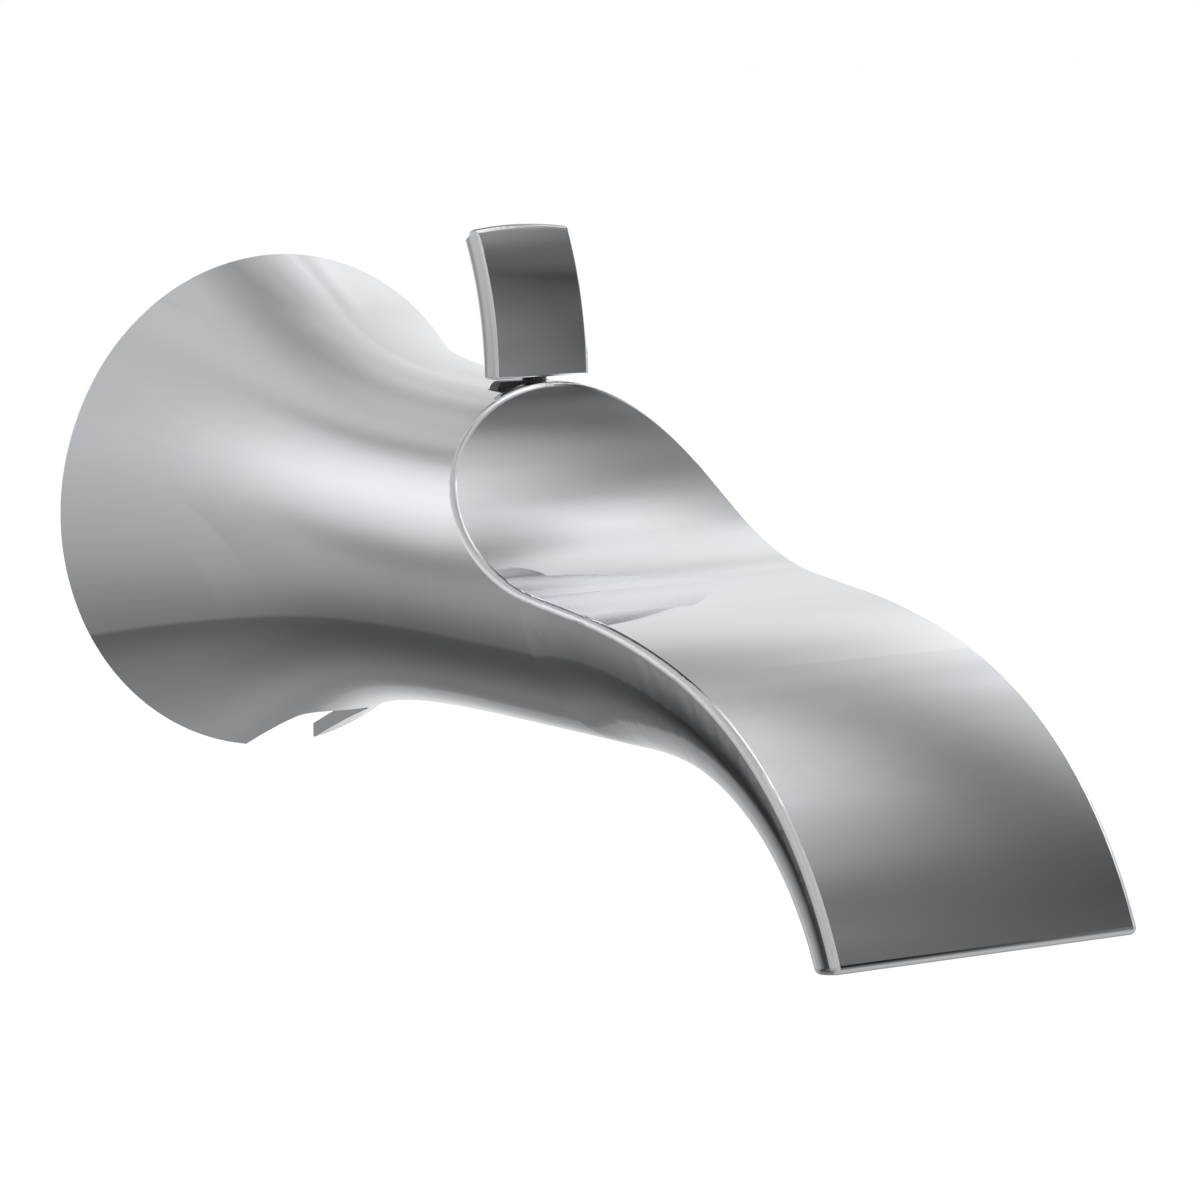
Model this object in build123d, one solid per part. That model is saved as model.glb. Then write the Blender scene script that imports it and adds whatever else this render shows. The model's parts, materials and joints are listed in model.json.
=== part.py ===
from build123d import *
import math
import os

# Wall-mounted bath spout with a lift tab that sends the water to the shower.
# Millimetres. The wall is the plane Y = 0 and the spout reaches out along -Y,
# with +Z up and the origin at the centre of the wall rim. Distances named
# "out" are measured from the wall, so a point at "out" lies at Y = -out.

# Body: flared tube
rim_radius = 40.4
tube_radius = 25.75
flare_length = 88.5
flare_pull_wall = 31.1
flare_pull_wall_radius = 26.26
flare_pull_tube = 48.8
rim_wall = 2.4
rim_edge_round = 0.3
bore_radius = 23.0
bore_back_out = 44.0
bore_front_wall = 1.7

# Body: the S-shaped face, from the crown of the tube down to the lip
face_top_out = 82.2
face_top_slope_deg = 73.9
scoop_radius = 37.9
scoop_turn_deg = 68.0
saddle_length = 12.5
shoulder_radius = 118.3
shoulder_turn_deg = 12.7
lip_bend_radius = 61.4
lip_bend_turn_deg = 50.0
face_wall = 2.6
edge_round = 1.0
curve_tolerance = 0.02

# Body: the underside, bending down to the back of the outlet
lip_start_offset = 29.8
bend_start_offset = 40.3
bend_pull_start = 13.4
bend_pull_end = 24.9
bend_end_slope_deg = 58.2
lip_plane_turn_deg = 82.0
lip_stations = 8
outlet_depth = 15.3
outlet_tilt_deg = 11.0
outlet_corner_radius = 15.0
outlet_back_radius = 130.0
lip_widening = 0.5
channel_wall = 3.7

# Body: notch in the rim, which lets a hex key reach the clamp screw
notch_width = 13.0
notch_depth = 23.0

# Retaining ring, which holds the housing in the bore
ring_thickness = 1.1
ring_width = 3.0
ring_groove_depth = 1.0
ring_groove_clearance = 0.05
ring_gap_deg = 26.0
ring_ear_radius = 2.1
ring_ear_hole_radius = 0.9
ring_out = 48.0

# Diverter housing
housing_clearance = 0.1
pad_half_width = 10.0
pad_depth = 8.25
pad_length = 9.5
pad_clearance = 0.15
chamber_radius = 6.5
port_radius = 4.6
port_wall = 2.1
gate_rail_clearance = 0.3
gate_room_half_width = 8.3
pocket_count = 3
pocket_inner_radius = 11.2
pocket_outer_radius = 18.6
pocket_half_deg = 36.0
pocket_depth = 13.0
housing_seal_section = 2.4
housing_seal_offset = 6.2
seal_groove_play = 0.3
seal_squeeze_gap = 0.02

# Pipe hub, for a half-inch copper tube of 15.88 mm
pipe_radius = 7.94
pipe_clearance = 0.04
collar_radius = 13.5
collar_length = 20.0
barrel_radius = 11.8
flange_radius = 19.6
flange_thickness = 4.0
pipe_stop_out = 43.0
hub_bore_radius = 6.5
spigot_radius = 9.0
spigot_length = 12.0
spigot_clearance = 0.06
spigot_seal_section = 1.8
spigot_seal_offset = 5.0
pipe_seal_section = 2.0
pipe_seal_outs = (25.0, 32.0)
hub_edge = 0.6

# Clamp screw in the hub's collar
clamp_screw_radius = 3.0
clamp_screw_clearance = 0.03
clamp_screw_out = 12.0
clamp_screw_length = 6.0
clamp_key_across_flats = 3.0
clamp_key_depth = 3.0
clamp_tip_gap = 0.1

# Flange screws
flange_screw_count = 3
flange_screw_circle = 15.4
flange_screw_radius = 1.75
flange_screw_head_radius = 3.1
flange_screw_head_height = 2.2
flange_screw_length = 12.0
flange_screw_clearance = 0.03
flange_screw_slot = 0.8

# Stem, bush and seals
stem_setback = 5.4
stem_radius = 1.5
stem_top_radius = 1.0
stem_end_radius = 1.2
running_clearance = 0.05
bush_radius = 4.0
bush_clearance = 0.03
bush_web = 0.9
bush_collar_across_flats = 11.0
bush_collar_height = 2.5
bush_stem_seal_section = 1.3
bush_seal_section = 1.4

# Gate
lift = 11.0
gate_radius = 6.2
gate_plate = 1.5
gate_seal_radius = 5.8
gate_seal_thickness = 1.0
gate_seal_stud_radius = 1.5
gate_seat_gap = 0.3
gate_boss_width = 5.2
gate_boss_depth = 5.0
gate_boss_height = 4.0
gate_boss_drop = 1.2
clip_radius = 2.6
clip_thickness = 0.6
clip_gap = 0.1
clip_neck_radius = 0.85

# Tab and its foot
tab_width = 18.2
tab_thickness = 3.1
tab_front_reach = 2.3
tab_gap = 0.5
tab_height = 23.2
tab_curve_radius = 46.5
tab_crown_radius = 53.0
tab_edge_round = 1.25
tab_top_round = 1.1
tab_bottom_round = 0.4
tab_socket_depth = 6.0
foot_radius = 1.87
foot_bar_height = 3.0
foot_bar_thickness = 2.2
foot_bar_reach = 7.8
foot_bar_shift = 0.6
foot_bar_drop = 0.4
foot_gap = 0.35
foot_slot_clearance = 0.2
pin_radius = 0.75
pin_height = 3.5
pin_clearance = 0.02

# Outlet insert
insert_height = 6.0
insert_recess = 0.8
insert_clearance = 0.1
insert_rim = 0.9
insert_cells = 9
insert_rib = 1.0

# Places that follow the top of the face and the tube
bore_front_out = face_top_out - bore_front_wall
lip_start_out = face_top_out + lip_start_offset
bend_start_out = face_top_out + bend_start_offset
stem_out = face_top_out - stem_setback
tab_front_out = stem_out + tab_front_reach
pad_bottom_z = tube_radius - pad_depth


# Shared helpers
def heading(angle_deg):
    """Unit vector from +Y towards +Z, as the local X and Y of the YZ plane."""
    angle = math.radians(angle_deg)
    return Vector(math.cos(angle), math.sin(angle))


def rod(radius, start_out, end_out, x=0.0, z=0.0):
    """A cylinder along Y between two distances from the wall."""
    middle = -(start_out + end_out) / 2
    return Pos(x, middle, z) * Rot(90, 0, 0) * Cylinder(radius, abs(end_out - start_out))


def post(radius, bottom, top, x=0.0, out=0.0):
    """A cylinder along Z."""
    return Pos(x, -out, (bottom + top) / 2) * Cylinder(radius, top - bottom)


def block(x_range, out_range, z_range):
    """A box between two values each of X, distance out and Z."""
    sizes = [pair[1] - pair[0] for pair in (x_range, out_range, z_range)]
    middles = [(pair[0] + pair[1]) / 2 for pair in (x_range, out_range, z_range)]
    return Pos(middles[0], -middles[1], middles[2]) * Box(*sizes)


def rubber_ring(outer_radius, section, out):
    """A ring of round section lying round the Y axis."""
    centre = outer_radius - section / 2
    return Pos(0, -out, 0) * Rot(90, 0, 0) * Torus(centre, section / 2)


def annulus(inner_radius, outer_radius, start_out, end_out):
    """A plain ring along Y, as cut from a wall or a shaft."""
    return rod(outer_radius, start_out, end_out) - rod(inner_radius, start_out, end_out)


def round_about(count, start_deg=90.0):
    """Angles about the Y axis, from +X towards +Z."""
    return [start_deg + 360.0 * index / count for index in range(count)]


# The face curve, as tangent arcs in the YZ plane, moved inwards by inset
def face_curve(inset=0.0):
    direction = heading(180 + face_top_slope_deg)
    inward = Vector(-direction.Y, direction.X)
    start = Vector(-face_top_out, tube_radius) + inward * inset
    lead_length = 2 * tube_radius - bore_radius
    lead = Line(start - direction * lead_length, start)
    scoop = JernArc(lead @ 1, lead % 1, scoop_radius + inset, -scoop_turn_deg)
    saddle = Line(scoop @ 1, scoop @ 1 + (scoop % 1) * saddle_length)
    shoulder = JernArc(saddle @ 1, saddle % 1, shoulder_radius - inset, shoulder_turn_deg)
    lip = JernArc(shoulder @ 1, shoulder % 1, lip_bend_radius - inset, lip_bend_turn_deg)
    return [lead, scoop, saddle, shoulder, lip]


def behind_face(inset=0.0, beyond=0.0):
    """Everything behind the face and above the outlet plane, moved out by beyond."""
    edges = face_curve(inset)
    top = edges[0] @ 0
    lip = edges[-1] @ 1
    tip = lip + (edges[-1] % 1) * beyond if beyond else lip
    tail = [Line(lip, tip)] if beyond else []
    back = tip + heading(-outlet_tilt_deg) * (outlet_depth + 2 * tube_radius)
    behind = rim_radius
    above = rim_radius + tube_radius
    frame = Polyline(tip, back, (behind, back.Y), (behind, above), (top.X, above), top)
    outline = make_face(edges + tail + [frame])
    return extrude(Plane.YZ * outline, amount=rim_radius + rim_wall, both=True)


# Lip, lofted through sections that turn from the round tube to a flat slot
def lip_section(where, share, plane_deg, inset):
    """A U-shaped section: bowed bottom, two corner arcs and two straight sides."""
    half = tube_radius + lip_widening * share - inset
    corner = tube_radius + (outlet_corner_radius - tube_radius) * share - inset
    bottom = tube_radius + (outlet_back_radius - tube_radius) * share - inset
    narrowing = tube_radius + lip_widening - outlet_corner_radius
    swing = math.asin(narrowing / (outlet_back_radius - outlet_corner_radius))
    rise = bottom - (bottom - corner) * math.cos(swing)
    joint_x = bottom * math.sin(swing)
    joint_y = bottom * (1 - math.cos(swing))
    middle = (math.pi / 2 + swing) / 2
    middle_x = half - corner + corner * math.sin(middle)
    middle_y = rise - corner * math.cos(middle)
    height = 2 * tube_radius
    outline = [
        ThreePointArc((-joint_x, joint_y), (0, 0), (joint_x, joint_y)),
        ThreePointArc((joint_x, joint_y), (middle_x, middle_y), (half, rise)),
        Line((half, rise), (half, height)),
        Line((half, height), (-half, height)),
        Line((-half, height), (-half, rise)),
        ThreePointArc((-half, rise), (-middle_x, middle_y), (-joint_x, joint_y)),
    ]
    origin = where + heading(90 + plane_deg) * inset
    normal = heading(180 + plane_deg)
    plane = Plane(
        origin=(0, origin.X, origin.Y), x_dir=(1, 0, 0), z_dir=(0, normal.X, normal.Y)
    )
    return plane * make_face(outline)


def underside():
    """The line under the lip, from the tube to the back of the outlet."""
    start = Vector(-bend_start_out, -tube_radius)
    end = (face_curve()[-1] @ 1) + heading(-outlet_tilt_deg) * outlet_depth
    pull = heading(bend_end_slope_deg) * bend_pull_end
    return Bezier(start, start - Vector(bend_pull_start, 0), end + pull, end)


def lip_block(inset=0.0):
    start = Vector(-lip_start_out, -tube_radius)
    sections = [lip_section(start, 0, 0, inset)]
    line = underside()
    for index in range(lip_stations):
        share = index / (lip_stations - 1)
        where = line @ share
        sections.append(lip_section(where, share, lip_plane_turn_deg * share, inset))
    return loft(sections)


# Body
def flare(inset=0.0):
    """The flared tube, shrunk by inset, from the wall to where the lip starts."""
    curve = Bezier(
        (rim_radius - inset, 0),
        (flare_pull_wall_radius - inset, -flare_pull_wall),
        (tube_radius - inset, -flare_pull_tube),
        (tube_radius - inset, -flare_length),
    )
    edges = [
        curve,
        Polyline(
            (tube_radius - inset, -flare_length),
            (tube_radius - inset, -lip_start_out),
            (0, -lip_start_out),
            (0, 0),
            (rim_radius - inset, 0),
        ),
    ]
    return revolve(make_face(edges), Axis.Y, 360)


def outer_form():
    return (flare() + lip_block()) & behind_face()


def face_edges(solid):
    """The edges where the face meets the tube and the sides of the lip."""
    line = Wire(face_curve())
    found = ShapeList()
    for edge in solid.edges():
        middle = edge @ 0.5
        on_face = line.distance_to(Vertex(middle.Y, middle.Z, 0)) < curve_tolerance
        across = abs(middle.X) < curve_tolerance and middle.Z < tube_radius - face_wall
        if on_face and not across:
            found.append(edge)
    return found


def outlet_edges(solid):
    """The edges round the foot of the lip, in the outlet plane."""
    lowest = solid.faces().filter_by(GeomType.PLANE).sort_by(Axis.Z)[0]
    return lowest.edges()


def water_channel():
    """The passage from the bore to the outlet, and on through the outlet plane."""
    tube = rod(tube_radius - channel_wall, bore_front_out, lip_start_out)
    solid = tube + lip_block(channel_wall)
    return solid & behind_face(face_wall, beyond=insert_height)


def rear_room():
    """The hollow behind the rim and the bore that takes the housing."""
    cavity = flare(rim_wall) & rod(rim_radius, 0, bore_back_out)
    bore = rod(bore_radius, bore_back_out, bore_front_out)
    return cavity + bore


def pad(clearance=0.0):
    """The thick place under the crown that carries the bush and keys the housing."""
    half = pad_half_width + clearance
    start = bore_front_out - pad_length - clearance
    return block((-half, half), (start, bore_front_out), (pad_bottom_z - clearance, tube_radius))


def foot_slot():
    """The slot in the crown that the foot and its bar drop into."""
    bottom = foot_bottom - foot_gap
    round_room = post(foot_radius + foot_slot_clearance, bottom, crown_top, out=stem_out)
    half = foot_bar_thickness / 2 + foot_slot_clearance
    middle = stem_out + foot_bar_shift
    reach = foot_bar_reach + foot_slot_clearance
    bar_room = block((-reach, 0), (middle - half, middle + half), (bottom, crown_top))
    return round_room + bar_room


def rim_notch():
    straight = notch_depth - notch_width / 2
    slot = block((-notch_width / 2, notch_width / 2), (0, straight), (-rim_radius, 0))
    return slot + post(notch_width / 2, -rim_radius, 0, out=straight)


def bush_hole():
    hole = post(bush_radius + bush_clearance, pad_bottom_z, bush_top_z, out=stem_out)
    passage = post(stem_radius + running_clearance, bush_top_z, crown_top, out=stem_out)
    return hole + passage


def spout_body():
    outside = outer_form()
    rim = outside.edges().filter_by(GeomType.CIRCLE).sort_by(Axis.Y)[-1]
    outside = fillet(rim, rim_edge_round)
    outside = fillet(face_edges(outside) + outlet_edges(outside), edge_round)
    solid = outside - rear_room() - water_channel()
    solid = solid + (pad() & outside)
    ring_room = ring_thickness + 2 * ring_groove_clearance
    solid = solid - rod(bore_radius + ring_groove_depth, ring_out, ring_out + ring_room)
    solid = solid - bush_hole() - foot_slot()
    solid = solid - (rim_notch() - rod(flange_radius, 0, bore_back_out))
    return solid


# Parts held in the bore
housing_back_out = ring_out + ring_thickness + ring_groove_clearance
housing_seal_out = ring_out + housing_seal_offset
crown_top = tube_radius + rim_wall
tab_bottom = tube_radius + tab_gap
foot_bottom = tab_bottom - foot_bar_drop - foot_bar_height
clip_front_out = stem_out - clip_radius - gate_seat_gap
plate_back_out = clip_front_out - gate_plate
port_front_out = plate_back_out - gate_seal_thickness - gate_seat_gap
gate_bottom_z = -lift - gate_radius
gate_top_z = -lift + gate_radius


def retaining_ring():
    outer = bore_radius + ring_groove_depth - ring_groove_clearance
    start = ring_out + ring_groove_clearance
    end = start + ring_thickness
    solid = rod(outer, start, end) - rod(outer - ring_width, start, end)
    half_gap = math.radians(ring_gap_deg / 2)
    reach = 2 * rim_radius
    gap = Polyline(
        (0, 0),
        (-reach * math.sin(half_gap), -reach * math.cos(half_gap)),
        (reach * math.sin(half_gap), -reach * math.cos(half_gap)),
        close=True,
    )
    wedge = extrude(Plane.XZ * make_face(gap), amount=rim_radius * 2)
    solid = solid - wedge
    ear_centre = outer - ring_width / 2
    ear_deg = ring_gap_deg / 2 + math.degrees(ring_ear_radius / ear_centre)
    for side in (-1, 1):
        angle = math.radians(-90 + side * ear_deg)
        radius = outer - ring_ear_radius
        x, z = radius * math.cos(angle), radius * math.sin(angle)
        solid = solid + rod(ring_ear_radius, start, end, x, z)
        solid = solid - rod(ring_ear_hole_radius, start, end, x, z)
    return solid


def housing_pockets():
    """Cored pockets between the screw bosses, open to the back."""
    end = housing_back_out + pocket_depth
    ring = annulus(pocket_inner_radius, pocket_outer_radius, housing_back_out, end)
    pockets = []
    reach = 2 * rim_radius
    for angle_deg in round_about(pocket_count, 90.0 + 180.0 / pocket_count):
        low = math.radians(angle_deg - pocket_half_deg)
        high = math.radians(angle_deg + pocket_half_deg)
        wedge = Polyline(
            (0, 0),
            (reach * math.cos(low), reach * math.sin(low)),
            (reach * math.cos(high), reach * math.sin(high)),
            close=True,
        )
        pockets.append(ring & extrude(Plane.XZ * make_face(wedge), amount=rim_radius * 2))
    return pockets


def gate_room():
    """The open room in front of the port, with rails beside the gate's plate."""
    rail = gate_radius + gate_rail_clearance
    bottom = gate_bottom_z - gate_rail_clearance
    top = gate_top_z + lift + gate_rail_clearance
    plate_room = block((-rail, rail), (port_front_out, clip_front_out + gate_seat_gap), (bottom, top))
    front = block(
        (-gate_room_half_width, gate_room_half_width),
        (clip_front_out, bore_front_out),
        (bottom, pad_bottom_z),
    )
    return plate_room + front


def diverter_housing():
    solid = rod(bore_radius - housing_clearance, housing_back_out, bore_front_out)
    socket_end = housing_back_out + spigot_length + spigot_clearance
    solid = solid - rod(spigot_radius + spigot_clearance, housing_back_out, socket_end)
    solid = solid - rod(chamber_radius, socket_end, port_front_out - port_wall)
    solid = solid - rod(port_radius, port_front_out - port_wall, port_front_out)
    solid = solid - gate_room()
    collar_room = pad_bottom_z - bush_collar_height - pad_clearance
    half = pad_half_width + pad_clearance
    start = bore_front_out - pad_length - pad_clearance
    solid = solid - block((-half, half), (start, bore_front_out), (collar_room, crown_top))
    for pocket in housing_pockets():
        solid = solid - pocket
    hole = flange_screw_radius + flange_screw_clearance
    depth = flange_screw_length - flange_thickness + flange_screw_clearance
    for x, z in flange_screw_places():
        solid = solid - rod(hole, housing_back_out, housing_back_out + depth, x, z)
    solid = solid - seal_groove(bore_radius, housing_seal_section, housing_seal_out)
    return solid


def seal_groove(wall_radius, section, out):
    """Groove for a ring that seals outwards against a wall."""
    bottom = wall_radius - section - seal_squeeze_gap * 2
    half = section / 2 + seal_groove_play / 2
    return annulus(bottom, wall_radius, out - half, out + half)


def housing_o_ring():
    return rubber_ring(bore_radius - seal_squeeze_gap, housing_seal_section, housing_seal_out)


# Pipe hub
def flange_screw_places():
    places = []
    for angle_deg in round_about(flange_screw_count):
        angle = math.radians(angle_deg)
        x = flange_screw_circle * math.cos(angle)
        z = flange_screw_circle * math.sin(angle)
        places.append((x, z))
    return places


flange_back_out = housing_back_out - flange_thickness
spigot_end_out = housing_back_out + spigot_length
spigot_seal_out = housing_back_out + spigot_seal_offset
hub_bore = pipe_radius + pipe_clearance
spigot_wall = spigot_radius + spigot_clearance
pipe_seal_outer = hub_bore + seal_squeeze_gap + pipe_seal_section


def inlet_hub():
    profile = Polyline(
        (hub_bore, 0),
        (collar_radius - hub_edge, 0),
        (collar_radius, -hub_edge),
        (collar_radius, -collar_length + hub_edge),
        (collar_radius - hub_edge, -collar_length),
        (barrel_radius, -collar_length),
        (barrel_radius, -flange_back_out),
        (flange_radius, -flange_back_out),
        (flange_radius, -housing_back_out),
        (spigot_radius, -housing_back_out),
        (spigot_radius, -spigot_end_out + hub_edge),
        (spigot_radius - hub_edge, -spigot_end_out),
        (hub_bore_radius, -spigot_end_out),
        (hub_bore_radius, -pipe_stop_out),
        (hub_bore, -pipe_stop_out),
        close=True,
    )
    solid = revolve(make_face(profile), Axis.Y, 360)
    solid = solid - seal_groove(spigot_wall, spigot_seal_section, spigot_seal_out)
    for out in pipe_seal_outs:
        half = pipe_seal_section / 2 + seal_groove_play / 2
        depth = hub_bore + pipe_seal_section + 2 * seal_squeeze_gap
        solid = solid - annulus(hub_bore, depth, out - half, out + half)
    hole = clamp_screw_radius + clamp_screw_clearance
    solid = solid - post(hole, -collar_radius - hub_edge, 0, out=clamp_screw_out)
    hole = flange_screw_radius + flange_screw_clearance
    for x, z in flange_screw_places():
        solid = solid - rod(hole, flange_back_out, housing_back_out, x, z)
    return solid


def hub_o_ring():
    return rubber_ring(spigot_wall - seal_squeeze_gap, spigot_seal_section, spigot_seal_out)


def pipe_seal_rear():
    return rubber_ring(pipe_seal_outer, pipe_seal_section, pipe_seal_outs[0])


def pipe_seal_front():
    return rubber_ring(pipe_seal_outer, pipe_seal_section, pipe_seal_outs[1])


def hub_screws():
    """Three slotted pan-head screws through the flange into the housing."""
    screws = []
    head_out = flange_back_out - flange_screw_head_height
    for x, z in flange_screw_places():
        shank_end = flange_back_out + flange_screw_length
        head = rod(flange_screw_head_radius, head_out, flange_back_out, x, z)
        head = fillet(head.edges().sort_by(Axis.Y)[-1], flange_screw_head_height / 3)
        screw = head + rod(flange_screw_radius, flange_back_out, shank_end, x, z)
        half = flange_screw_slot / 2
        reach = flange_screw_head_radius + flange_screw_slot
        depth = head_out + flange_screw_head_height / 2
        slot = block((x - reach, x + reach), (head_out, depth), (z - half, z + half))
        screws.append(screw - slot)
    return Compound(children=screws)


def clamp_screw():
    """Socket set screw that grips the pipe from below."""
    top = -hub_bore - clamp_tip_gap
    bottom = top - clamp_screw_length
    solid = post(clamp_screw_radius, bottom, top, out=clamp_screw_out)
    solid = chamfer(solid.edges().sort_by(Axis.Z)[-1], clamp_screw_radius / 4)
    socket = RegularPolygon(clamp_key_across_flats / 2, 6, major_radius=False)
    key = extrude(Pos(0, -clamp_screw_out, bottom) * socket, amount=clamp_key_depth)
    return solid - key


# Bush and its seals
bush_top_z = foot_bottom - foot_gap - bush_web
bush_seal_outer = bush_radius + bush_clearance + bush_seal_section


def stem_bush():
    collar_z = pad_bottom_z - bush_collar_height
    hexagon = RegularPolygon(bush_collar_across_flats / 2, 6, major_radius=False)
    collar = extrude(Pos(0, -stem_out, collar_z) * hexagon, amount=bush_collar_height)
    solid = collar + post(bush_radius, pad_bottom_z, bush_top_z, out=stem_out)
    solid = solid - post(stem_radius + running_clearance, collar_z, bush_top_z, out=stem_out)
    gland = stem_radius + running_clearance + bush_stem_seal_section + seal_squeeze_gap
    gland_z = bush_top_z - bush_stem_seal_section - seal_groove_play
    solid = solid - post(gland, gland_z, bush_top_z, out=stem_out)
    groove_z = pad_bottom_z - bush_seal_section - seal_squeeze_gap
    groove = post(bush_seal_outer, groove_z, pad_bottom_z, out=stem_out)
    groove = groove - post(bush_radius, groove_z, pad_bottom_z, out=stem_out)
    return solid - groove


def stem_o_ring():
    centre = stem_radius + running_clearance + bush_stem_seal_section / 2
    height = bush_top_z - bush_stem_seal_section / 2 - seal_groove_play / 2
    return Pos(0, -stem_out, height) * Torus(centre, bush_stem_seal_section / 2)


def bush_o_ring():
    centre = bush_seal_outer - bush_seal_section / 2
    height = pad_bottom_z - bush_seal_section / 2 - seal_squeeze_gap / 2
    return Pos(0, -stem_out, height) * Torus(centre, bush_seal_section / 2)


# Gate, stem and clip
boss_top_z = gate_top_z - gate_boss_drop
boss_bottom_z = boss_top_z - gate_boss_height
stem_end_z = boss_bottom_z - 2 * clip_gap - clip_thickness - stem_end_radius
stem_top_z = tab_bottom + tab_socket_depth
pin_z = tab_bottom + pin_height


def gate():
    disc = rod(gate_radius, plate_back_out, clip_front_out, z=-lift)
    half = gate_boss_width / 2
    boss = block(
        (-half, half),
        (clip_front_out, clip_front_out + gate_boss_depth),
        (boss_bottom_z, boss_top_z),
    )
    solid = disc + boss
    hole = stem_end_radius + running_clearance
    solid = solid - post(hole, boss_bottom_z, boss_top_z, out=stem_out)
    stud = gate_seal_stud_radius + running_clearance
    return solid - rod(stud, plate_back_out, clip_front_out, z=-lift)


def gate_seal():
    disc = rod(gate_seal_radius, plate_back_out - gate_seal_thickness, plate_back_out, z=-lift)
    return disc + rod(gate_seal_stud_radius, plate_back_out, clip_front_out, z=-lift)


def diverter_stem():
    """Turned stem: thin top in the tab, shaft in the bush, stepped end in the gate."""
    solid = post(stem_radius, boss_top_z, foot_bottom, out=stem_out)
    solid = solid + post(stem_top_radius, foot_bottom, stem_top_z, out=stem_out)
    solid = solid + post(stem_end_radius, stem_end_z, boss_top_z, out=stem_out)
    neck_top = boss_bottom_z
    neck_bottom = neck_top - clip_thickness - 2 * clip_gap
    neck = post(stem_end_radius, neck_bottom, neck_top, out=stem_out)
    neck = neck - post(clip_neck_radius, neck_bottom, neck_top, out=stem_out)
    cross = rod(pin_radius + pin_clearance, stem_out - stem_radius, stem_out + stem_radius, z=pin_z)
    return solid - neck - cross


def stem_clip():
    """E-shaped clip in the stem's neck, under the gate's boss."""
    top = boss_bottom_z - clip_gap
    bottom = top - clip_thickness
    inner = clip_neck_radius + running_clearance
    solid = post(clip_radius, bottom, top, out=stem_out) - post(inner, bottom, top, out=stem_out)
    mouth = block((-inner, inner), (stem_out, stem_out + 2 * clip_radius), (bottom, top))
    return solid - mouth


# Tab, foot and pin
def tab_profile(offset):
    """Front or back line of the tab: straight up, then curling to the wall."""
    start = Vector(-tab_front_out + offset, tab_bottom)
    return JernArc(start, (0, 1), tab_curve_radius - offset, -tab_curl_deg)


tab_curl_deg = math.degrees(math.asin(tab_height / tab_curve_radius))


def tab_blank():
    """The curled blade, its top cut square and slightly arched."""
    front = tab_profile(0)
    back = tab_profile(tab_thickness)
    outline = [front, Line(front @ 1, back @ 1), back, Line(back @ 0, front @ 0)]
    blade = extrude(Plane.YZ * make_face(outline), amount=tab_width / 2, both=True)
    centre = (front @ 1) - (front % 1) * tab_crown_radius
    across = (back @ 1) - (front @ 1)
    arch = Plane(origin=(0, centre.X, centre.Y), x_dir=(1, 0, 0), z_dir=(0, across.X, across.Y))
    return blade & extrude(arch * Circle(tab_crown_radius), amount=tab_width, both=True)


def diverter_tab():
    solid = tab_blank()
    upright = [edge for edge in solid.edges() if abs((edge % 0.5).Z) > 0.5]
    solid = fillet(upright, tab_edge_round)
    bottom = solid.faces().sort_by(Axis.Z)[0]
    solid = fillet(bottom.edges(), tab_bottom_round)
    top = solid.faces().sort_by(Axis.Z)[-1]
    solid = fillet(top.edges(), tab_top_round)
    socket = stem_top_radius + pin_clearance
    solid = solid - post(socket, tab_bottom, stem_top_z + pin_clearance, out=stem_out)
    hole = rod(pin_radius + pin_clearance, 0, stem_out + stem_top_radius, z=pin_z)
    return solid - hole


def tab_foot():
    """Black collar round the stem with a bar to one side, which stops it turning."""
    collar = post(foot_radius, foot_bottom, tab_bottom, out=stem_out)
    half = foot_bar_thickness / 2
    middle = stem_out + foot_bar_shift
    bar_round = foot_bar_height / 2
    straight = block(
        (-foot_bar_reach + bar_round, 0),
        (middle - half, middle + half),
        (foot_bottom, foot_bottom + foot_bar_height),
    )
    end = rod(bar_round, middle - half, middle + half, -foot_bar_reach + bar_round, foot_bottom + bar_round)
    solid = collar + straight + end
    return solid - post(stem_top_radius + pin_clearance, foot_bottom, tab_bottom, out=stem_out)


def tab_pin():
    """Pin that locks the tab to the stem, filed flush with the tab's back."""
    tip = stem_out + stem_top_radius - pin_clearance
    return rod(pin_radius, 0, tip, z=pin_z) & tab_blank()


# Outlet insert
def outlet_slab(low, high):
    """The space between two planes parallel to the outlet, above it."""
    lip = face_curve()[-1] @ 1
    along = heading(-outlet_tilt_deg)
    up = heading(90 - outlet_tilt_deg)
    near = lip - along * tube_radius
    far = lip + along * tube_radius * 2
    outline = Polyline(near + up * low, far + up * low, far + up * high, near + up * high, close=True)
    return extrude(Plane.YZ * make_face(outline), amount=rim_radius, both=True)


def stream_insert():
    """Comb that straightens the sheet of water just inside the outlet."""
    slab = outlet_slab(insert_recess, insert_recess + insert_height)
    gap = insert_clearance
    solid = lip_block(channel_wall + gap) & behind_face(face_wall + gap) & slab
    rim = gap + insert_rim
    room = lip_block(channel_wall + rim) & behind_face(face_wall + rim, beyond=insert_height)
    room = room & slab
    width = 2 * (tube_radius - channel_wall - rim)
    lip = face_curve()[-1] @ 1
    for index in range(1, insert_cells):
        x = width * (index / insert_cells - 0.5)
        across = (x - insert_rib / 2, x + insert_rib / 2)
        room = room - block(across, (lip_start_out, -lip.X), (2 * lip.Y, 0))
    return solid - room


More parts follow.
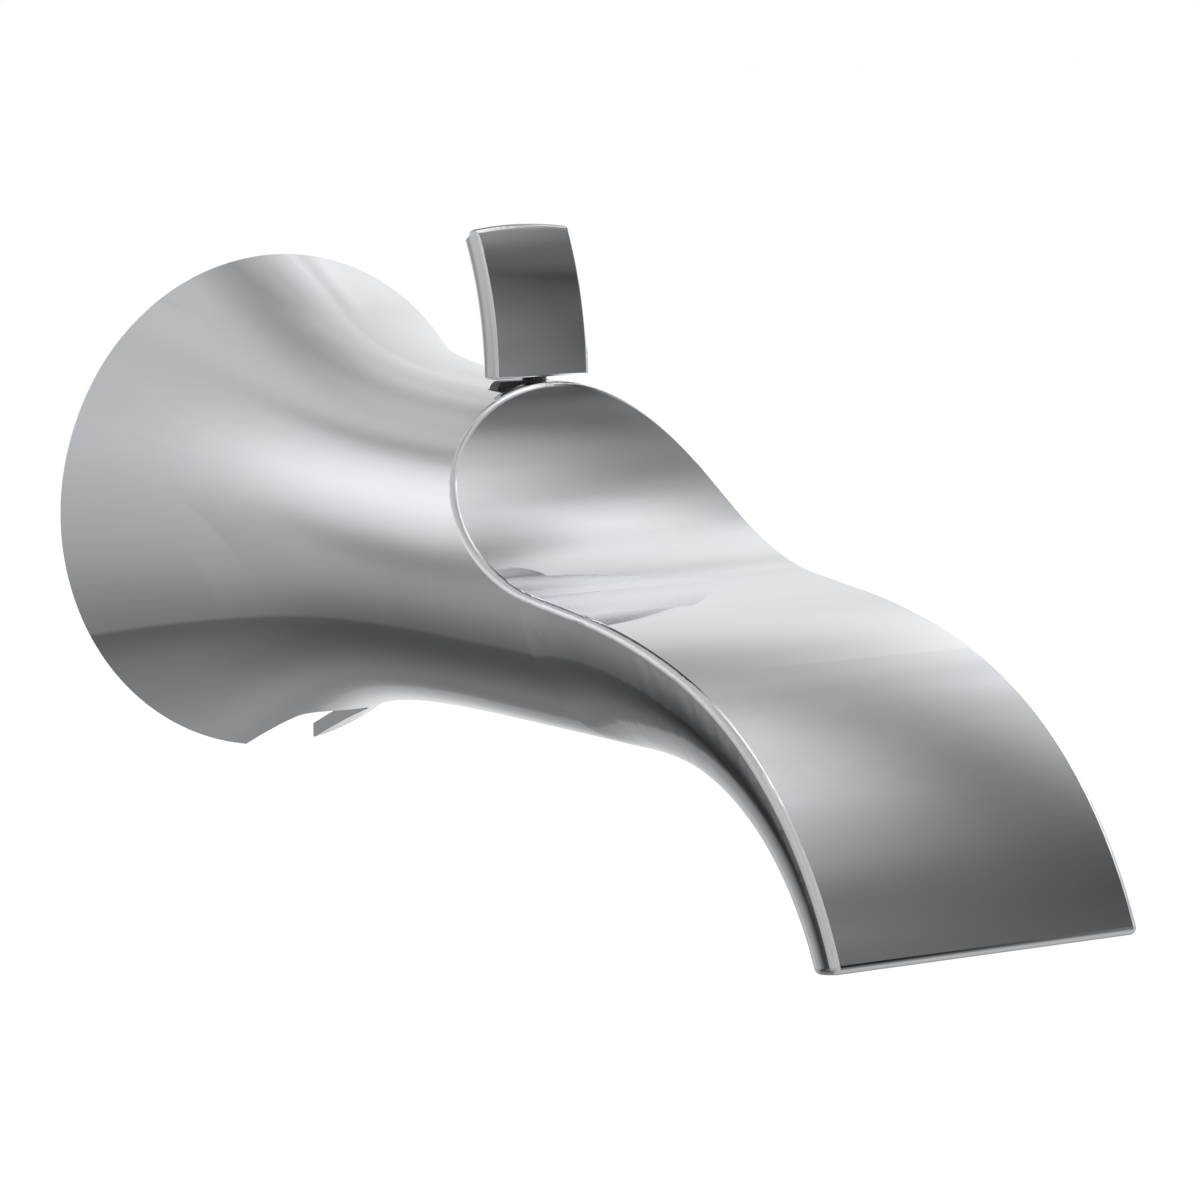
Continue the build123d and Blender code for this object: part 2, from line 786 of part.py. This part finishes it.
nodes = {
    "spout_body": spout_body,
    "diverter_housing": diverter_housing,
    "housing_o_ring": housing_o_ring,
    "retaining_ring": retaining_ring,
    "inlet_hub": inlet_hub,
    "hub_o_ring": hub_o_ring,
    "hub_screws": hub_screws,
    "pipe_seal_rear": pipe_seal_rear,
    "pipe_seal_front": pipe_seal_front,
    "clamp_screw": clamp_screw,
    "stem_bush": stem_bush,
    "stem_o_ring": stem_o_ring,
    "bush_o_ring": bush_o_ring,
    "stream_insert": stream_insert,
    "gate": gate,
    "gate_seal": gate_seal,
    "diverter_stem": diverter_stem,
    "stem_clip": stem_clip,
    "diverter_tab": diverter_tab,
    "tab_foot": tab_foot,
    "tab_pin": tab_pin,
}

if __name__ == "__main__":
    os.makedirs("parts", exist_ok=True)
    for name, make in nodes.items():
        export_step(make(), f"parts/{name}.step")
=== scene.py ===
import json
import math

import bpy
from mathutils import Matrix, Vector


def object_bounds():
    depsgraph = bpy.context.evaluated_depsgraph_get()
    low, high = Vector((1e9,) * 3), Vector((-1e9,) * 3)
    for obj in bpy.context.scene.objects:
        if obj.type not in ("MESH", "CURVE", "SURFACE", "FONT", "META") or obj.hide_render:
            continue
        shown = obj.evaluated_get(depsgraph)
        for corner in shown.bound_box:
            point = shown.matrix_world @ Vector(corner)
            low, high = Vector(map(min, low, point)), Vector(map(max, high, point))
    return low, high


# Bath spout with a lift tab, dressed and lit like the photograph. The shapes are the
# solids of the frame; this script adds their finishes, the studio and the camera.
# Metres and degrees; azimuth 0 looks at the wall (+Y) and azimuth 90 along +X.

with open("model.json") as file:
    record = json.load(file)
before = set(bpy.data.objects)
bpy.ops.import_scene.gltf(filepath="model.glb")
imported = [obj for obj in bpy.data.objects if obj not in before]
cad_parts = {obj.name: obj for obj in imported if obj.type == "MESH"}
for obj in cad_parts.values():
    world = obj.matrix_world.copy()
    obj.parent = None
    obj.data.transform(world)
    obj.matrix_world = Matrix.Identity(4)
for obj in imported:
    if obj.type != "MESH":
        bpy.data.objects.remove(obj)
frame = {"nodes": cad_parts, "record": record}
cad_low, cad_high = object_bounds()

WHITE = (1.0, 1.0, 1.0, 1.0)

# Camera of the photograph
IMAGE_PIXELS = 1200
FOCAL_PIXELS = 5526.7
SENSOR_MM = 36.0
CAMERA_PLACE = (-0.45597, -0.77472, 0.10326)
CAMERA_YAW = 33.84
CAMERA_PITCH = 7.60
CLIP_NEAR = 0.01
CLIP_FAR = 50.0

# Floor: it shows white, and keeps the soft shadow of the object
FLOOR_DROP = 0.16
FLOOR_REACH = 6.0
FLOOR_SHADES = ((0.93, 0.93, 0.93, 1.0), (0.95, 0.95, 0.95, 1.0))
FLOOR_NOISE_SCALE = 3.0
FLOOR_ROUGHNESS = 0.9
FLOOR_LIFT = 0.10

# Light on everything that isn't metal, and what the camera sees behind the object
FILL_STRENGTH = 1.0
BACKDROP_STRENGTH = 1.0

# Studio surroundings, as metal sees them: soft cards on a grey ground
GROUND = 0.543
DARKEST = 0.02
BRIGHTEST = 1.6
CARDS = (
    # azimuth, elevation, half width, half height, turn, strength
    (80.6, 60.8, 26.7, 27.9, 68, 1.20),
    (2.8, 8.0, 29.3, 48.4, 6, -0.99),
    (-16.6, 7.4, 38.0, 16.5, -35, 1.20),
    (144.7, 22.5, 5.5, 75.0, -2, -0.55),
    (31.1, 31.0, 36.7, 12.9, 6, -0.67),
    (-71.2, -48.0, 32.6, 74.6, 84, -0.27),
    (89.3, 45.8, 3.5, 55.7, -87, -0.43),
    (1.0, 14.3, 17.4, 44.0, 19, 0.78),
    (33.2, 26.9, 44.2, 12.5, -86, -0.59),
    (39.5, 53.6, 14.2, 6.9, -84, -0.70),
    (58.8, 44.7, 3.4, 8.8, -48, -0.83),
    (23.1, 27.3, 29.6, 12.5, 30, 1.20),
    (-23.0, -9.8, 5.5, 18.5, 56, -0.31),
    (-7.5, 14.1, 4.4, 25.5, 26, -0.38),
    (-3.2, -11.1, 11.6, 73.1, 52, -0.29),
)

# The same, with everything on one side of their middle line cut off
CUT_CARDS = (
    (-52.4, -45.3, 35.7, 9.8, -161.4, -0.09),
    (4.9, -23.4, 19.8, 31.0, -21.0, 0.13),
    (144.5, 16.9, 17.9, 2.5, 96.5, -0.21),
)
CUT_SHARPNESS = 40.0

# Panels near the object, which only its reflections see: some dim, some light
PANELS_AROUND = Vector((0.0, -0.14, -0.01))
PANEL_REACH = 1.5
PANEL_HIDDEN_FROM = ("camera", "diffuse", "transmission", "volume_scatter", "shadow")
PANELS = (
    # azimuth, elevation, distance, half width, half height, turn, dims, lights
    (125.0, 35.3, 2.041, 9.7, 26.7, 36, 0.90, 0.0),
    (14.4, 22.7, 1.498, 9.6, 30.9, -9, 0.66, 0.0),
    (95.1, 47.1, 0.456, 23.0, 6.2, -12, 0.97, 0.0),
    (19.5, 30.2, 0.423, 49.6, 4.0, 55, 0.60, 0.0),
    (86.0, 42.7, 0.420, 14.2, 17.7, -14, 0.49, 0.0),
    (65.6, 58.2, 0.420, 44.0, 10.3, -6, 0.35, 0.0),
    (76.7, 53.3, 0.265, 12.3, 5.2, -4, 0.0, 0.05),
    (91.7, 64.3, 0.225, 7.7, 6.6, -12, 0.0, 0.06),
    (90.3, 29.9, 0.173, 18.9, 30.8, 79, 0.0, 0.85),
    (146.3, 53.2, 0.155, 30.4, 16.6, 76, 0.0, 0.15),
    (35.7, 9.7, 0.155, 45.8, 30.9, 0, 0.0, 0.85),
)

# Finishes: two shades that a noise mixes, a range of roughness with its own noise,
# and a fine grain. Noise scales count waves per metre and grain depths are in metres.
METALS = {
    "chrome": {
        "name": "chrome_plate",
        "shades": ((0.795, 0.81, 0.84, 1.0), (0.81, 0.825, 0.85, 1.0)),
        "shade_scale": 40.0,
        "roughness": (0.035, 0.06),
        "roughness_scale": 90.0,
        "roughness_detail": 5.0,
    },
    "brass": {
        "name": "machined_brass",
        "shades": ((0.72, 0.52, 0.24, 1.0), (0.82, 0.64, 0.34, 1.0)),
        "shade_scale": 160.0,
        "roughness": (0.25, 0.40),
        "roughness_scale": 400.0,
        "grain": (900.0, 0.15, 0.0002),
    },
    "steel": {
        "name": "stainless_steel",
        "shades": ((0.55, 0.55, 0.56, 1.0), (0.68, 0.68, 0.69, 1.0)),
        "shade_scale": 200.0,
        "roughness": (0.25, 0.42),
        "roughness_scale": 500.0,
        "grain": (1200.0, 0.1, 0.0001),
    },
}
PLASTICS = {
    "moulded_plastic": {
        "name": "moulded_plastic",
        "shades": ((0.70, 0.70, 0.67, 1.0), (0.80, 0.80, 0.77, 1.0)),
        "roughness": (0.38, 0.50),
        "grain": (1500.0, 0.10, 0.0001),
    },
    "grey_plastic": {
        "name": "comb_plastic",
        "shades": ((0.24, 0.25, 0.26, 1.0), (0.32, 0.33, 0.34, 1.0)),
        "roughness": (0.35, 0.45),
        "grain": (1500.0, 0.10, 0.0001),
    },
    "black_plastic": {
        "name": "foot_plastic",
        "shades": ((0.008, 0.008, 0.009, 1.0), (0.016, 0.016, 0.017, 1.0)),
        "roughness": (0.22, 0.32),
        "grain": (1500.0, 0.08, 0.0001),
    },
    "seal_rubber": {
        "name": "seal_rubber",
        "shades": ((0.014, 0.014, 0.014, 1.0), (0.028, 0.028, 0.028, 1.0)),
        "roughness": (0.55, 0.70),
        "grain": (1500.0, 0.20, 0.0001),
    },
}
PLASTIC_SHADE_SCALE = 120.0
PLASTIC_ROUGHNESS_SCALE = 300.0

# The part of a noise's range that is spread over a finish
NOISE_LOW = 0.35
NOISE_HIGH = 0.65
NOISE_DETAIL = 3.0


# Node helpers
def add_node(tree, kind, **settings):
    node = tree.nodes.new(kind)
    for name, value in settings.items():
        setattr(node, name, value)
    return node


def plug(tree, socket, value):
    """Links a socket to an input, or sets a constant on it."""
    if isinstance(value, bpy.types.NodeSocket):
        tree.links.new(value, socket)
    else:
        socket.default_value = value


def math_node(tree, operation, first, second=None, clamp=False):
    node = add_node(tree, "ShaderNodeMath", operation=operation, use_clamp=clamp)
    plug(tree, node.inputs[0], first)
    if second is not None:
        plug(tree, node.inputs[1], second)
    return node.outputs[0]


def times(tree, first, second):
    return math_node(tree, "MULTIPLY", first, second)


def dot(tree, vector, axis):
    node = add_node(tree, "ShaderNodeVectorMath", operation="DOT_PRODUCT")
    plug(tree, node.inputs[0], vector)
    plug(tree, node.inputs[1], tuple(axis))
    return node.outputs["Value"]


def noise(tree, place, scale, detail=NOISE_DETAIL):
    node = add_node(tree, "ShaderNodeTexNoise")
    plug(tree, node.inputs["Vector"], place)
    node.inputs["Scale"].default_value = scale
    node.inputs["Detail"].default_value = detail
    return node.outputs["Fac"]


def ranged(tree, value, low, high):
    """The middle of a noise's range, spread between two values."""
    node = add_node(tree, "ShaderNodeMapRange")
    plug(tree, node.inputs["Value"], value)
    node.inputs["From Min"].default_value = NOISE_LOW
    node.inputs["From Max"].default_value = NOISE_HIGH
    node.inputs["To Min"].default_value = low
    node.inputs["To Max"].default_value = high
    return node.outputs["Result"]


def mix_colours(tree, share, first, second):
    node = add_node(tree, "ShaderNodeMix", data_type="RGBA")
    plug(tree, node.inputs["Factor"], share)
    node.inputs["A"].default_value = first
    node.inputs["B"].default_value = second
    return node.outputs["Result"]


def background(tree, strength):
    node = add_node(tree, "ShaderNodeBackground")
    node.inputs["Color"].default_value = WHITE
    plug(tree, node.inputs["Strength"], strength)
    return node.outputs[0]


def join_shaders(tree, kind, *inputs):
    """A mix or a sum of shaders, with its inputs in order."""
    node = add_node(tree, kind)
    for socket, value in zip(node.inputs, inputs):
        plug(tree, socket, value)
    return node.outputs[0]


# Directions
def direction_of(azimuth, elevation):
    a, e = math.radians(azimuth), math.radians(elevation)
    return Vector((math.sin(a) * math.cos(e), math.cos(a) * math.cos(e), math.sin(e)))


def axes_of(azimuth, elevation, turn):
    """Direction of a card, and the two axes it is drawn along."""
    normal = direction_of(azimuth, elevation)
    side = Vector((normal.y, -normal.x, 0)).normalized()
    above = side.cross(normal)
    angle = math.radians(turn)
    along = side * math.cos(angle) + above * math.sin(angle)
    across = above * math.cos(angle) - side * math.sin(angle)
    return normal, along, across


# World
def soft_card(tree, direction, card, cut=False):
    """Strength of one soft-edged card in a direction."""
    azimuth, elevation, half_width, half_height, turn, strength = card
    normal, along, across = axes_of(azimuth, elevation, turn)
    u = dot(tree, direction, along / math.sin(math.radians(half_width)))
    v = dot(tree, direction, across / math.sin(math.radians(half_height)))
    square = math_node(tree, "ADD", times(tree, u, u), times(tree, v, v))
    fall = math_node(tree, "EXPONENT", times(tree, square, -1.0))
    shown = math_node(tree, "GREATER_THAN", dot(tree, direction, normal), 0.0)
    if cut:
        edge = dot(tree, direction, across * CUT_SHARPNESS)
        shown = times(tree, shown, math_node(tree, "ADD", edge, 0.5, clamp=True))
    return times(tree, times(tree, fall, shown), strength)


def studio_level(tree):
    """Brightness of the studio in each direction."""
    direction = add_node(tree, "ShaderNodeTexCoord").outputs["Generated"]
    level = GROUND
    for card in CARDS:
        level = math_node(tree, "ADD", level, soft_card(tree, direction, card))
    for card in CUT_CARDS:
        level = math_node(tree, "ADD", level, soft_card(tree, direction, card, cut=True))
    return math_node(tree, "MINIMUM", math_node(tree, "MAXIMUM", level, DARKEST), BRIGHTEST)


def studio_world():
    """Metal sees the studio, the camera a white backdrop, and the rest an even light."""
    world = bpy.data.worlds.new("studio")
    bpy.context.scene.world = world
    world.use_nodes = True
    tree = world.node_tree
    tree.nodes.clear()
    seen_by_metal = background(tree, studio_level(tree))
    fill = background(tree, FILL_STRENGTH)
    backdrop = background(tree, BACKDROP_STRENGTH)
    path = add_node(tree, "ShaderNodeLightPath").outputs
    lit = join_shaders(tree, "ShaderNodeMixShader", path["Is Glossy Ray"], fill, seen_by_metal)
    clear = math_node(tree, "MAXIMUM", path["Is Camera Ray"], path["Is Transmission Ray"])
    shown = join_shaders(tree, "ShaderNodeMixShader", clear, lit, backdrop)
    plug(tree, add_node(tree, "ShaderNodeOutputWorld").inputs["Surface"], shown)


# Materials
def new_material(name):
    material = bpy.data.materials.new(name)
    material.use_nodes = True
    tree = material.node_tree
    shader = tree.nodes["Principled BSDF"]
    place = add_node(tree, "ShaderNodeTexCoord").outputs["Object"]
    return material, tree, shader, place


def finish(name, shades, shade_scale, roughness, roughness_scale,
           roughness_detail=NOISE_DETAIL, grain=None, metallic=0.0):
    """A material whose shade, roughness and grain vary a little over the piece."""
    material, tree, shader, place = new_material(name)
    shader.inputs["Metallic"].default_value = metallic
    share = ranged(tree, noise(tree, place, shade_scale), 0.0, 1.0)
    plug(tree, shader.inputs["Base Color"], mix_colours(tree, share, *shades))
    rough = ranged(tree, noise(tree, place, roughness_scale, roughness_detail), *roughness)
    plug(tree, shader.inputs["Roughness"], rough)
    if grain:
        grain_scale, strength, depth = grain
        node = add_node(tree, "ShaderNodeBump")
        plug(tree, node.inputs["Height"], noise(tree, place, grain_scale))
        node.inputs["Strength"].default_value = strength
        node.inputs["Distance"].default_value = depth
        plug(tree, shader.inputs["Normal"], node.outputs["Normal"])
    return material


def finishes():
    """One material per slot of the record."""
    made = {}
    for slot, look in METALS.items():
        made[slot] = finish(metallic=1.0, **look)
    for slot, look in PLASTICS.items():
        made[slot] = finish(shade_scale=PLASTIC_SHADE_SCALE,
                            roughness_scale=PLASTIC_ROUGHNESS_SCALE, **look)
    return made


def dress():
    made = finishes()
    for part in frame["record"]["subparts"]:
        node = frame["nodes"][part["node"]]
        node.data.materials.clear()
        node.data.materials.append(made[part["material_slot"]])


def floor_material():
    material, tree, shader, place = new_material("studio_floor")
    share = ranged(tree, noise(tree, place, FLOOR_NOISE_SCALE), 0.0, 1.0)
    plug(tree, shader.inputs["Base Color"], mix_colours(tree, share, *FLOOR_SHADES))
    shader.inputs["Roughness"].default_value = FLOOR_ROUGHNESS
    shader.inputs["Emission Color"].default_value = WHITE
    camera_ray = add_node(tree, "ShaderNodeLightPath").outputs["Is Camera Ray"]
    plug(tree, shader.inputs["Emission Strength"], times(tree, camera_ray, FLOOR_LIFT))
    return material


def panel_material(dims, lights):
    """Takes light away or adds it, both fading out towards the panel's edge."""
    material = bpy.data.materials.new("soft_panel")
    material.use_nodes = True
    tree = material.node_tree
    tree.nodes.clear()
    place = add_node(tree, "ShaderNodeTexCoord").outputs["Object"]
    length = add_node(tree, "ShaderNodeVectorMath", operation="LENGTH")
    plug(tree, length.inputs[0], place)
    fourth = math_node(tree, "POWER", length.outputs["Value"], 4.0)
    share = math_node(tree, "EXPONENT", times(tree, fourth, -1.0))
    clear = add_node(tree, "ShaderNodeBsdfTransparent")
    dimmed = (1 - dims, 1 - dims, 1 - dims, 1.0)
    plug(tree, clear.inputs["Color"], mix_colours(tree, share, WHITE, dimmed))
    glow = add_node(tree, "ShaderNodeEmission")
    glow.inputs["Color"].default_value = WHITE
    plug(tree, glow.inputs["Strength"], times(tree, share, lights))
    both = join_shaders(tree, "ShaderNodeAddShader", clear.outputs[0], glow.outputs[0])
    plug(tree, add_node(tree, "ShaderNodeOutputMaterial").inputs["Surface"], both)
    return material


# Stage
def flat_square(name, reach, level, material):
    """A square object in a plane parallel to its own XY plane."""
    corners = [(-reach, -reach, level), (reach, -reach, level),
               (reach, reach, level), (-reach, reach, level)]
    mesh = bpy.data.meshes.new(name)
    mesh.from_pydata(corners, [], [(0, 1, 2, 3)])
    mesh.materials.append(material)
    square = bpy.data.objects.new(name, mesh)
    bpy.context.scene.collection.objects.link(square)
    return square


def soft_panel(azimuth, elevation, distance, half_width, half_height, turn, dims, lights):
    """A panel that faces PANELS_AROUND; its half width and height are angles from there."""
    panel = flat_square("soft_panel", PANEL_REACH, 0, panel_material(dims, lights))
    normal, along, across = axes_of(azimuth, elevation, turn)
    wide = distance * math.tan(math.radians(half_width))
    high = distance * math.tan(math.radians(half_height))
    axes = Matrix((along * wide, across * high, normal)).transposed().to_4x4()
    panel.matrix_world = Matrix.Translation(PANELS_AROUND + normal * distance) @ axes
    for kind in PANEL_HIDDEN_FROM:
        setattr(panel, "visible_" + kind, False)


def studio_floor():
    floor = flat_square("floor", FLOOR_REACH, cad_low.z - FLOOR_DROP, floor_material())
    floor.visible_glossy = False


def photo_camera():
    data = bpy.data.cameras.new("camera")
    camera = bpy.data.objects.new("camera", data)
    bpy.context.scene.collection.objects.link(camera)
    camera.location = CAMERA_PLACE
    camera.rotation_mode = "QUATERNION"
    look = direction_of(CAMERA_YAW, -CAMERA_PITCH)
    camera.rotation_quaternion = look.to_track_quat("-Z", "Y")
    data.sensor_width = SENSOR_MM
    data.lens = FOCAL_PIXELS / IMAGE_PIXELS * SENSOR_MM
    data.clip_start, data.clip_end = CLIP_NEAR, CLIP_FAR
    bpy.context.scene.camera = camera


studio_world()
studio_floor()
for panel in PANELS:
    soft_panel(*panel)
dress()
photo_camera()
bpy.context.scene.view_settings.view_transform = "Standard"
